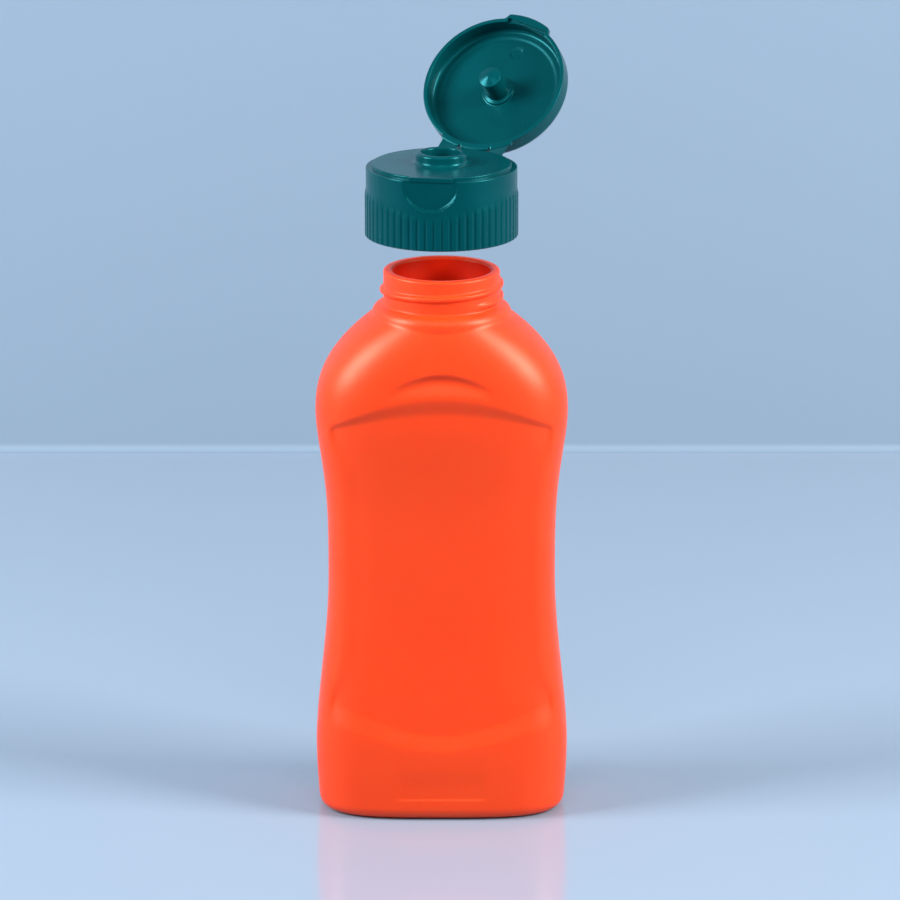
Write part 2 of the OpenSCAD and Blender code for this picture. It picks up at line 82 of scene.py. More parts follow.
neck_r, mouth_r = 17.55, 14.8
collar_r, collar_round = 21.0, 3.2
collar_z = bottle_h - 13.6
shoulder_top_z, shoulder_top_r = collar_z + 0.6, collar_r - 0.6
rim_round = 0.8
collar_blend, collar_tuck, shoulder_drop = 5.0, 8.0, 2.2
neck_fillet, neck_fillet_h = 0.12, 0.8

pitch, thread_h, thread_root_w, thread_crest_w = 3.8, 1.1, 2.4, 0.9
thread_start, thread_sweep, thread_run_out = -60.0, 490.0, 35.0
thread_z = bottle_h - 8.8
cap_thread_sweep = thread_sweep - 130.0

cap_h, cap_wall, skirt_wall, skirt_gap, skirt_foot = 21.0, 1.5, 1.2, 1.05, 4.0
top_t, plate_h, edge_round, top_round = 1.4, 1.0, 0.5, 0.35
plug_t, plug_h, plug_gap = 1.0, 3.0, 0.15
ribs, rib_h, rib_flat, rib_side = 58, 0.32, 0.62, 0.42
rib_short, rib_long, rib_fade, rib_foot = 10.6, 15.2, 2.8, 0.5
bore_r = neck_r + thread_h + 0.35
skirt_r = bore_r + skirt_wall
cap_in_r = skirt_r + skirt_gap
cap_r = cap_in_r + cap_wall
plate_top = cap_h + plate_h

spout_r, spout_h, spout_mouth_r, spout_throat_r = 7.7, 3.4, 5.8, 4.3
spout_fillet, spout_round = 1.3, 0.9

lid_wall, lid_inset, lid_h, lid_top_t, lid_round = 1.2, 0.35, 7.0, 1.4, 2.6
lid_step_w, lid_step_h = 2.6, 0.22
lid_r = cap_r - lid_inset
lid_in_r = lid_r - lid_wall
plate_r = lid_in_r - 0.25
lid_ceiling = lid_h - lid_top_t
tongue_front = plate_r + 0.25
pin_r, pin_l, pin_tip_l, pin_tip_r = 3.5, 10.0, 1.6, 2.1
pin_collar_r, pin_collar_h = 4.8, 0.6
ejector_r, ejector_reach, ejector_depth = 2.0, 13.6, 0.22

recess_w, recess_h, recess_depth, recess_drop, recess_side = 16.9, 8.2, 1.85, 1.0, 0.32
tongue_w, tongue_t, tongue_gap = 13.2, 1.4, 0.3
tongue_l, tongue_lift, tongue_round = 4.0, 0.015, 0.22
tab_reach, tab_half_angle, tab_slope, tab_t = 1.5, 21.5, 5.0, 1.5
tab_turn = 15.0
strap_w, flange_t, hinge_gap = 9.0, 1.2, 0.2
rim_land_half_angle, rim_land_reach, rim_land_t = 31.0, 0.85, 1.2
slit_angle, slit_floor, slit_half_angle = 12.5, 0.3, 1.0
lid_gap, notch_clear = 0.15, 0.2
notch_h = plate_h - lid_gap + notch_clear

# The hinge line comes from the frame's joint
hinge = frame["joints"][0]
hinge_point = Vector(hinge["pos_m"]) / MM
hinge_axis = Vector(hinge["axis"]).normalized()
open_angle = hinge["range_deg"][1] - hinge["range_deg"][0]
hinge_turn = math.degrees(math.atan2(-hinge_axis.y, hinge_axis.x))
hinge_r = math.hypot(hinge_point.x, hinge_point.y)
hinge_z = hinge_point.z - cap_z


# ---- Small helpers on numpy arrays ----

def ease(x, low, high):
    """Smooth step from 0 at low to 1 at high."""
    t = np.clip((x - low) / (high - low), 0, 1)
    return t * t * (3 - 2 * t)


def mix(a, b, t):
    return a + (b - a) * t


def steps(low, high, count):
    """count values from low, in equal steps, without high."""
    return [low + (high - low) * i / count for i in range(count)]


def arc(cx, cy, r, start, end, count=5):
    """Points of an arc, from start to end in degrees."""
    turns = np.radians(np.linspace(start, end, count + 1))
    return [(cx + r * math.cos(t), cy + r * math.sin(t)) for t in turns]


def subdivided(profile, step):
    """The profile with its long stretches split into pieces no longer than step."""
    out = [profile[0]]
    for a, b in zip(profile, profile[1:]):
        count = max(1, math.ceil(math.dist(a, b) / step))
        out += [(mix(a[0], b[0], i / count), mix(a[1], b[1], i / count)) for i in range(1, count + 1)]
    return out


def around_angles(columns):
    return np.arange(columns) * 2 * np.pi / columns


def angle_gap(a, b):
    """Signed difference between angles in degrees, from -180 to 180."""
    return (a - b + 180) % 360 - 180


def grid_faces(rows, cols, closed_rows=False):
    """Quads of a grid whose columns run all the way round."""
    last = rows if closed_rows else rows - 1
    r = np.arange(last)[:, None]
    c = np.arange(cols)[None, :]
    r2, c2 = (r + 1) % rows, (c + 1) % cols
    quads = np.stack([r * cols + c, r * cols + c2, r2 * cols + c2, r2 * cols + c], -1)
    return quads.reshape(-1, 4).tolist()


def cap_fan(row, cols, centre, flip):
    """Triangles from one row of the grid to a centre point."""
    first = row * cols
    faces = []
    for c in range(cols):
        a, b = first + c, first + (c + 1) % cols
        faces.append([centre, b, a] if flip else [centre, a, b])
    return faces


def make_mesh(name, points, faces, material, sharp_angle=50):
    """A smooth-shaded piece from points in millimetres."""
    mesh = bpy.data.meshes.new(name)
    mesh.from_pydata((np.asarray(points, float) * MM).tolist(), [], faces)
    mesh.validate()
    mesh.update()
    mesh.polygons.foreach_set("use_smooth", np.ones(len(mesh.polygons), bool))
    mesh.set_sharp_from_angle(angle=math.radians(sharp_angle))
    piece = bpy.data.objects.new(name, mesh)
    bpy.context.scene.collection.objects.link(piece)
    mesh.materials.append(material)
    return piece


# ---- Materials ----

def new_material(name):
    material = bpy.data.materials.new(name)
    material.use_nodes = True
    nodes = material.node_tree.nodes
    nodes.clear()
    out = nodes.new("ShaderNodeOutputMaterial")
    shader = nodes.new("ShaderNodeBsdfPrincipled")
    material.node_tree.links.new(shader.outputs[0], out.inputs[0])
    return material, material.node_tree, shader


def noise(tree, scale, detail, roughness):
    """Noise in object space, in features per metre."""
    place = tree.nodes.new("ShaderNodeTexCoord")
    texture = tree.nodes.new("ShaderNodeTexNoise")
    texture.inputs["Scale"].default_value = scale
    texture.inputs["Detail"].default_value = detail
    texture.inputs["Roughness"].default_value = roughness
    tree.links.new(place.outputs["Object"], texture.inputs["Vector"])
    return texture.outputs["Fac"]


def ramp(tree, value, stops):
    """A colour ramp from (position, colour) stops."""
    node = tree.nodes.new("ShaderNodeValToRGB")
    elements = node.color_ramp.elements
    while len(elements) < len(stops):
        elements.new(0.5)
    for element, (position, colour) in zip(elements, stops):
        element.position = position
        element.color = (*colour, 1)
    tree.links.new(value, node.inputs["Fac"])
    return node.outputs["Color"]


def spread(tree, value, low, high):
    """The value, brought from 0..1 to low..high."""
    node = tree.nodes.new("ShaderNodeMapRange")
    node.inputs["To Min"].default_value = low
    node.inputs["To Max"].default_value = high
    tree.links.new(value, node.inputs["Value"])
    return node.outputs["Result"]


def bump(tree, height, distance, strength, normal=None):
    node = tree.nodes.new("ShaderNodeBump")
    node.inputs["Distance"].default_value = distance
    node.inputs["Strength"].default_value = strength
    tree.links.new(height, node.inputs["Height"])
    if normal is not None:
        tree.links.new(normal, node.inputs["Normal"])
    return node.outputs["Normal"]


def orange_plastic(name, low, high):
    """Blow-moulded polyethylene: satin, slightly translucent, with a faint waviness."""
    material, tree, shader = new_material(name)
    link = tree.links.new
    cloud = noise(tree, 22, 3, 0.5)
    link(ramp(tree, cloud, [(0.3, low), (0.7, high)]), shader.inputs["Base Color"])
    link(spread(tree, noise(tree, 160, 4, 0.6), 0.36, 0.46), shader.inputs["Roughness"])
    fine = bump(tree, noise(tree, 2600, 3, 0.6), 0.00002, 0.35)
    link(bump(tree, noise(tree, 90, 2, 0.5), 0.0002, 0.12, fine), shader.inputs["Normal"])
    shader.inputs["IOR"].default_value = 1.5
    shader.inputs["Specular IOR Level"].default_value = 0.5
    shader.inputs["Specular Tint"].default_value = (1.0, 0.58, 0.42, 1)
    shader.inputs["Subsurface Weight"].default_value = 0.35
    shader.inputs["Subsurface Radius"].default_value = (1.0, 0.08, 0.03)
    shader.inputs["Subsurface Scale"].default_value = 0.004
    return material


def teal_plastic():
    """Injection-moulded polypropylene: satin gloss, with the mould's fine texture."""
    material, tree, shader = new_material("teal_polypropylene")
    link = tree.links.new
    cloud = noise(tree, 60, 3, 0.5)
    stops = [(0.3, (0.0001, 0.039, 0.045)), (0.7, (0.0002, 0.048, 0.055))]
    link(ramp(tree, cloud, stops), shader.inputs["Base Color"])
    link(spread(tree, noise(tree, 300, 4, 0.6), 0.22, 0.30), shader.inputs["Roughness"])
    fine = bump(tree, noise(tree, 3800, 2, 0.5), 0.00002, 0.3)
    link(bump(tree, noise(tree, 140, 2, 0.5), 0.0001, 0.1, fine), shader.inputs["Normal"])
    shader.inputs["IOR"].default_value = 1.5
    shader.inputs["Specular IOR Level"].default_value = 0.3
    shader.inputs["Specular Tint"].default_value = (0.06, 0.85, 0.95, 1)
    return material


# ---- Bottle ----

bottle_columns = 288


def at_height(z, foot, hip, waist, chest, top):
    """A measure at height z from its values at the foot, hip, waist, chest and shoulder top."""
    low = mix(foot, hip, np.sin(np.pi / 2 * np.clip(z / hip_z, 0, 1)))
    rise = np.clip((z - hip_z) / (waist_z - hip_z), 0, 1) ** hip_curve
    middle = mix(hip, waist, ease(rise, 0, 1))
    swell = np.clip((z - waist_z) / (chest_z - waist_z), 0, 1) ** chest_curve
    upper = mix(waist, chest, ease(swell, 0, 1))
    fall = np.clip((z - chest_z) / (shoulder_top_z - chest_z), 0, 1) ** shoulder_curve
    above = mix(chest, top, fall)
    return np.where(z < hip_z, low, np.where(z < waist_z, middle, np.where(z < chest_z, upper, above)))


def roundness(a, n):
    """Radius of a unit superellipse in direction a."""
    return (np.abs(np.cos(a)) ** n + np.abs(np.sin(a)) ** n) ** (-1 / n)


def half_width(z):
    return at_height(z, foot_w, hip_w, waist_w, chest_w, 2 * shoulder_top_r) / 2


def half_depth(z):
    return at_height(z, foot_d, hip_d, waist_d, chest_d, 2 * shoulder_top_r) / 2


def squareness(z):
    return at_height(z, foot_square, foot_square, waist_square, chest_square, 2)


def across(a):
    """Distance across the front from its middle, for a column at angle a."""
    return np.abs(waist_w / 2 * roundness(a, waist_square) * np.cos(a))


def bent(u, x):
    """Height of a row of the skin: it bends down with the panel's top edge and up with its bottom edge."""
    arch = ease(u, waist_z + 10, panel_top_z - 8) * (1 - ease(u, panel_top_z + 12, collar_z - 1))
    smile = ease(u, smile_start, panel_bottom_z - ledge_h)
    smile = smile * (1 - ease(u, panel_bottom_z + 3, waist_z - 12))
    fall = arch_fall * np.minimum(x / (panel_w / 2), 1.1) ** 2
    rise = smile_rise * np.sin(np.pi / 2 * np.minimum(x / (panel_w / 2 + 5), 1)) ** 2
    return u - fall * arch + rise * smile


def panel_relief(u, x):
    """Inward depth of the label panel: an overhang above it, a ledge below it and sides that fade out."""
    half = panel_w / 2
    side = np.minimum(x / half, 1) ** 2
    brow = brow_h * (1 - brow_fade * side)
    ledge_top = panel_bottom_z + ledge_growth * side
    middle = ease(u, panel_bottom_z + 2, panel_bottom_z + 16) * (1 - ease(u, panel_top_z - 14, panel_top_z))
    side_w = mix(panel_side_crisp, panel_side_soft, middle)
    sides = 1 - ease(x, half - side_w, half + panel_side_out)
    ledge_low = panel_bottom_z - ledge_h
    straight = np.clip((u - ledge_low) / (ledge_top - ledge_low), 0, 1)
    ledge = mix(ease(u, ledge_low, ledge_top), straight, 0.7)
    return panel_depth * sides * ledge * (1 - ease(u, panel_top_z, panel_top_z + brow))


def groove_relief(u, x):
    """Inward depth of the crescent groove: steep above its crease and easing out below it."""
    side = np.minimum(x / (groove_w / 2), 1) ** 2
    crease = panel_top_z + brow_h + groove_rise - groove_fall * side
    return groove_depth * (1 - side) * (1 - ease(u, crease - 1, crease + 1.2)) * ease(
        u, panel_top_z + brow_h - 0.4, crease - 1)


def pad_relief(u, x, a):
    """Inward depth of the date code pad, on the front only."""
    pad_top = pad_z + pad_h
    up = ease(u, pad_z - pad_edge, pad_z + pad_edge) * (1 - ease(u, pad_top - pad_fade, pad_top))
    sides = 1 - ease(x, pad_w / 2 - pad_side, pad_w / 2)
    return np.where(np.sin(a) < 0, pad_depth * sides * up, 0)


def skin(u, a, inset=0.0):
    """Points of the bottle's skin for row value u and column angles a, set in by inset."""
    x = across(a)
    z = bent(u, x)
    reach = roundness(a, squareness(z))
    drop = panel_relief(u, x) + groove_relief(u, x) + pad_relief(u, x, a)
    depth = (half_depth(z) - inset) * reach * np.sin(a)
    return np.stack([(half_width(z) - inset) * reach * np.cos(a), depth - np.sign(np.sin(a)) * drop, z], -1)


def level(z, inset, a, height):
    """A ring of the body's outline at height z, drawn in by inset and placed at the given height."""
    z = np.full_like(a, z)
    reach = roundness(a, squareness(z))
    x = (half_width(z) - inset) * reach * np.cos(a)
    y = (half_depth(z) - inset) * reach * np.sin(a)
    return np.stack([x, y, np.full_like(a, height)], -1)


def circle(r, z, a):
    return np.stack([r * np.cos(a), r * np.sin(a), np.zeros_like(a) + z], -1)


def smooth_max(a, b, k):
    """The larger of the two, rounded over a width of k where they cross."""
    h = np.clip(0.5 + 0.5 * (a - b) / k, 0, 1)
    return mix(b, a, h) + k * h * (1 - h)


def thread_relief(z, a, foot_z, sweep):
    """Height of a right-handed helical ridge at height z and angle a: 0 to 1."""
    degrees = np.degrees(a)
    out = np.zeros_like(degrees)
    for wrap in (0, 360):
        turn = (degrees - thread_start) % 360 + wrap
        ends = np.minimum(ease(turn, 0, thread_run_out), 1 - ease(turn, sweep - thread_run_out, sweep))
        off = np.abs(z - foot_z - pitch * turn / 360)
        ridge = 1 - ease(off, thread_crest_w / 2 - 0.15, thread_root_w / 2 + 0.1)
        out = np.maximum(out, np.where(turn <= sweep, ends * ridge, 0))
    return out


def bottle_rings(a):
    """All rings of the bottle, up outside and down inside, and the row where its bore starts."""
    rings = []
    # underside: the hollow, its slope and the standing ring
    inner = foot_round + foot_land + hollow_slope
    for inset in (34, 30, 25, 20, 16, inner + 0.8):
        rings.append(level(0, min(inset, half_depth(0) - 1.5), a, foot_hollow))
    for inset in np.linspace(inner, foot_round + foot_land, 6):
        rings.append(level(0, inset, a, foot_hollow * ease(inset, foot_round + foot_land, inner)))
    rings.append(level(0, foot_round + foot_land / 2, a, 0))
    for turn in np.radians(np.linspace(0, 90, 9)):
        height = foot_round * (1 - math.cos(turn))
        rings.append(level(height, foot_round * (1 - math.sin(turn)), a, height))
    # side, up to where the collar starts
    rows = (
        steps(foot_round + 0.6, pad_z - 0.5, 3)
        + steps(pad_z - 0.5, pad_z + 0.5, 4)
        + steps(pad_z + 0.5, pad_z + pad_h + 0.3, 10)
        + steps(pad_z + pad_h + 0.3, panel_bottom_z - ledge_h - 0.3, 7)
        + steps(panel_bottom_z - ledge_h - 0.3, panel_bottom_z + 0.3, 13)
        + steps(panel_bottom_z + 0.3, panel_bottom_z + 3.3, 6)
        + steps(panel_bottom_z + 3.3, panel_top_z - 0.4, 44)
        + steps(panel_top_z - 0.4, panel_top_z + brow_h + 0.2, 16)
        + steps(panel_top_z + brow_h + 0.2, panel_top_z + brow_h + groove_rise + 2, 18)
        + steps(panel_top_z + brow_h + groove_rise + 2, collar_z - collar_blend, 7)
    )
    rings += [skin(u, a) for u in rows]
    # shoulder top and collar: the larger of the skin and the collar's bead
    bead_r = collar_r - collar_round
    for u in np.linspace(collar_z - collar_blend, collar_z + collar_round, 24):
        p = skin(np.full_like(a, min(u, shoulder_top_z)), a)
        z = p[:, 2] + max(u - shoulder_top_z, 0)
        reach = np.hypot(p[:, 0], p[:, 1])
        falling = reach - shoulder_drop * max(u - shoulder_top_z, 0)
        below = np.clip((z - collar_z) / collar_round, -0.999, 1)
        tuck = collar_tuck * ease(collar_z - z, 1, 6)
        bead = bead_r + collar_round * np.sqrt(1 - below ** 2) - tuck
        r = smooth_max(falling, bead, 0.5)
        rings.append(np.stack([p[:, 0] / reach * r, p[:, 1] / reach * r, z], -1))
    # neck with its thread
    for z in np.linspace(collar_z + collar_round + 0.15, bottle_h - rim_round - 0.1, 44):
        above = z - collar_z - collar_round
        fillet = neck_fillet * (1 - ease(above, 0, neck_fillet_h))
        ridge = thread_h * thread_relief(z, a, thread_z, thread_sweep)
        rings.append(circle(neck_r + fillet + ridge, z, a))
    # rim and bore
    for r, z in arc(neck_r - rim_round, bottle_h - rim_round, rim_round, 0, 90, 5):
        rings.append(circle(r, z, a))
    for r, z in arc(mouth_r + rim_round, bottle_h - rim_round, rim_round, 90, 180, 5):
        rings.append(circle(r, z, a))
    bore_row = len(rings) - 1
    for z in np.linspace(bottle_h - rim_round - 0.4, collar_z + 2, 9):
        rings.append(circle(mouth_r, z, a))
    # inside of the shoulder and the body
    for z in np.linspace(collar_z + 1.2, collar_z - 7, 12):
        p = level(min(z, shoulder_top_z), wall, a, z)
        reach = np.hypot(p[:, 0], p[:, 1])
        r = mix(reach, mouth_r, ease(z, collar_z - 7, collar_z + 1.2))
        rings.append(np.stack([p[:, 0] / reach * r, p[:, 1] / reach * r, p[:, 2]], -1))
    inside = (
        steps(collar_z - 8.5, panel_top_z, 16)
        + steps(panel_top_z, panel_bottom_z, 24)
        + steps(panel_bottom_z, panel_bottom_z - ledge_h, 5)
        + steps(panel_bottom_z - ledge_h, foot_round + 2.5, 6)
    )
    rings += [skin(u, a, wall) for u in inside]
    floor_z = wall + foot_hollow
    for turn in np.radians(np.linspace(90, 0, 7)):
        height = foot_round * (1 - math.cos(turn))
        rings.append(level(height, wall + foot_round * (1 - math.sin(turn)), a, height + floor_z))
    for inset in (9, 14, 18):
        rings.append(level(0, inset, a, floor_z))
    return rings, bore_row


def make_bottle(material, inside_painted_light_material):
    a = around_angles(bottle_columns)
    rings, bore_row = bottle_rings(a)
    points = np.concatenate(rings)
    count = len(rings)
    # the grid winds outwards as the rings go up outside, and the two ends are closed to a middle point
    ends = [[0, 0, foot_hollow], [0, 0, wall + foot_hollow]]
    faces = grid_faces(count, bottle_columns)
    faces += cap_fan(0, bottle_columns, len(points), True)
    faces += cap_fan(count - 1, bottle_columns, len(points) + 1, False)
    piece = make_mesh("bottle_body", np.concatenate([points, ends]), faces, material)
    piece.data.materials.append(inside_painted_light_material)
    # from the bore on the faces are the inside's, apart from the underside's fan before the last fan
    inside = np.arange(len(faces)) // bottle_columns >= bore_row
    inside[-2 * bottle_columns:-bottle_columns] = False
    # the inside faces take the copy of the plastic with the painted deeper red of light through the wall
    piece.data.polygons.foreach_set("material_index", inside.astype(int))
    return piece


# ---- Cap, in its own frame: foot at z = 0 and hinge towards +Y, then turned and lifted ----

cap_columns = 10 * ribs
cap_place = Matrix.Translation((0, 0, cap_z)) @ Matrix.Rotation(-math.radians(hinge_turn), 4, "Z")


def placed(points, matrix):
    p = np.asarray(points, float)
    m = np.array(matrix)
    return p @ m[:3, :3].T + m[:3, 3]


def rib_relief(z, degrees):
    """Height of the grip ribs above the wall: longest halfway round, with a plain band at the foot."""
    spacing = 360 / ribs
    turn = degrees + 90 - tab_turn
    nearest = np.round(turn / spacing) * spacing
    off = np.abs(np.radians(turn - nearest)) * cap_r
    length = mix(rib_short, rib_long, np.abs(np.sin(np.radians(nearest))) ** 1.1)
    rib = 1 - ease(off, rib_flat, rib_flat + rib_side)
    return rib_h * np.maximum(rib, 1 - ease(z, 0, rib_foot)) * (1 - ease(z, length - rib_fade, length))


def recess_edge(z, degrees):
    """Distance inside the U-shaped outline of the thumb recess, in millimetres."""
    turn = np.radians(angle_gap(degrees, tab_turn - 90))
    x = cap_r * np.sin(turn)
    below = np.minimum(z - (cap_h - recess_drop), 0)
    inside = (1 - np.hypot(x / (recess_w / 2), below / recess_h)) * recess_h
    return np.where(np.cos(turn) > 0, inside, -9)


def recessed(r, z, degrees):
    """The wall's radius r, cut back to the recess's flat floor inside its outline."""
    front = np.maximum(np.cos(np.radians(angle_gap(degrees, tab_turn - 90))), 0.5)
    floor_r = (cap_r - recess_depth) / front
    return mix(r, np.minimum(r, floor_r), ease(recess_edge(z, degrees), 0, recess_side))


def flange_relief(z, degrees):
    """The shelf that reaches out to the hinge line."""
    x = np.abs(cap_r * np.sin(np.radians(angle_gap(degrees, 90))))
    back = np.abs(angle_gap(degrees, 90)) < 90
    out = (hinge_r - cap_r - hinge_gap) * (1 - ease(x, strap_w / 2 - 0.2, strap_w / 2 + 0.3))
    return np.where(back, out * ease(z, cap_h - flange_t - 2, cap_h - flange_t), 0)


def make_cap(material):
    a = around_angles(cap_columns)
    degrees = np.degrees(a)
    under = plate_top - top_t
    plug_r = mouth_r - plug_gap
    plug_in_r = plug_r - plug_t
    ceiling = cap_h - top_t
    plug_foot = ceiling - plug_h
    rings = []

    def wall_ring(r, z):
        outside = 1 - ease(recess_edge(z, degrees), -0.6, 0)
        out = rib_relief(z, degrees) * outside + flange_relief(z, degrees)
        rings.append(circle(recessed(r + out, z, degrees), z, a))

    def plain(points):
        rings.extend(circle(r, z, a) for r, z in points)

    # foot and outer wall
    plain([(cap_in_r + 0.3, 0), (cap_in_r + cap_wall / 2, 0)])
    for r, z in arc(cap_r - edge_round, edge_round, edge_round, -90, 0, 4):
        wall_ring(r, z)
    for z in steps(edge_round + 0.35, cap_h - top_round, 60):
        wall_ring(cap_r, z)
    for r, z in arc(cap_r - top_round, cap_h - top_round, top_round, 0, 90, 4):
        wall_ring(r, z)
    # ledge, raised plate, spout and its hole
    rim = plate_top + spout_h
    for r in (cap_r - 0.7, cap_r - 1.1, cap_r - 1.5):
        wall_ring(r, cap_h)
    plain(arc(plate_r + 0.12, cap_h + 0.12, 0.12, 270, 180, 3))
    plain(arc(plate_r - top_round, plate_top - top_round, top_round, 0, 90, 4))
    deck_ends = [(plate_r - top_round - 0.4, plate_top), (spout_r + spout_fillet + 0.4, plate_top)]
    plain(subdivided(deck_ends, 2.5))
    plain(arc(spout_r + spout_fillet, plate_top + spout_fillet, spout_fillet, 270, 180, 6))
    plain(arc(spout_r - spout_round, rim - spout_round, spout_round, 0, 90, 6))
    plain(arc(spout_mouth_r + edge_round, rim - edge_round, edge_round, 90, 180, 4))
    hole_ends = [(spout_mouth_r - 0.05, rim - edge_round - 0.4), (spout_mouth_r - 0.25, plate_top)]
    plain(subdivided(hole_ends, 1.2))
    plain(subdivided([(spout_throat_r + 0.1, plate_top - 0.6), (spout_throat_r, under + 0.4)], 1.2))
    # underside of the top, plug ring, bore with its thread, skirt and the gap outside it
    plain([(spout_throat_r, under + 0.15), (spout_throat_r + 0.15, under)])
    plain(subdivided([(spout_throat_r + 0.6, under), (plug_in_r - 0.3, under)], 3))
    plain([(plug_in_r, under - 0.3)])
    plain(subdivided([(plug_in_r, under - 0.8), (plug_in_r, plug_foot + 0.2)], 1.2))
    plain([(plug_in_r + 0.2, plug_foot), (plug_r - 0.5, plug_foot)])
    plain([(plug_r - 0.3, plug_foot + 0.2), (plug_r, ceiling - 0.3), (plug_r + 0.3, ceiling)])
    plain([(bore_r - 0.5, ceiling), (bore_r, ceiling - 0.5)])
    for z in np.linspace(ceiling - 1, skirt_foot + 0.3, 32):
        turned = a - math.radians(hinge_turn)
        ridge = thread_h * thread_relief(z, turned, skirt_foot + 2, cap_thread_sweep)
        rings.append(circle(bore_r - ridge, z, a))
    plain([(bore_r + 0.3, skirt_foot), (skirt_r - 0.3, skirt_foot), (skirt_r, skirt_foot + 0.3)])
    plain(subdivided([(skirt_r, skirt_foot + 1), (skirt_r, ceiling)], 3))
    for z in np.linspace(ceiling, 0.3, 24):
        behind = (cap_in_r - skirt_r - 0.05) * ease(recess_edge(z, degrees), -1.9, -0.9)
        rings.append(circle(cap_in_r - behind, z, a))
    points = placed(np.concatenate(rings), cap_place)
    return make_mesh("cap_body", points, grid_faces(len(rings), cap_columns, True), material)


def rounded_block(low, high, radius, cells):
    """A box with rounded edges as (points, faces): a grid on each side, pulled onto the rounding."""
    low, high = np.asarray(low, float), np.asarray(high, float)
    points, faces, index = [], [], {}

    def corner(key):
        if key not in index:
            t = np.array(key) / cells
            p = low + (high - low) * (1 - np.cos(np.pi * t)) / 2
            core = np.clip(p, low + radius, high - radius)
            away = p - core
            points.append(core + away / max(np.linalg.norm(away), 1e-9) * radius)
            index[key] = len(points) - 1
        return index[key]

    for axis in range(3):
        u, v = (axis + 1) % 3, (axis + 2) % 3
        for side in (0, cells[axis]):
            for i in range(cells[u]):
                for j in range(cells[v]):
                    keys = []
                    for di, dj in ((0, 0), (1, 0), (1, 1), (0, 1)):
                        key = [0, 0, 0]
                        key[axis], key[u], key[v] = side, i + di, j + dj
                        keys.append(corner(tuple(key)))
                    faces.append(keys if side else keys[::-1])
    return points, faces


def make_tongue(material):
    """The tongue that carries the raised plate out over the recess, with a straight front edge."""
    low = (-tongue_w / 2, -tongue_front, plate_top - tongue_t)
    high = (tongue_w / 2, -tongue_front + tongue_l, plate_top + tongue_lift)
    points, faces = rounded_block(low, high, tongue_round, np.array([24, 12, 8]))
    turn = Matrix.Rotation(math.radians(tab_turn), 4, "Z")
    return make_mesh("cap_tongue", placed(points, cap_place @ turn), faces, material)


# ---- Lid, drawn closed in the cap's frame with its rim at z = 0, then swung open about the hinge line ----

lid_columns = 480
lid_closed = cap_place @ Matrix.Translation((0, 0, hinge_z))
swing = (
    Matrix.Translation(hinge_point)
    @ Matrix.Rotation(-math.radians(open_angle), 4, hinge_axis)
    @ Matrix.Translation(-hinge_point)
)
lid_place = swing @ lid_closed


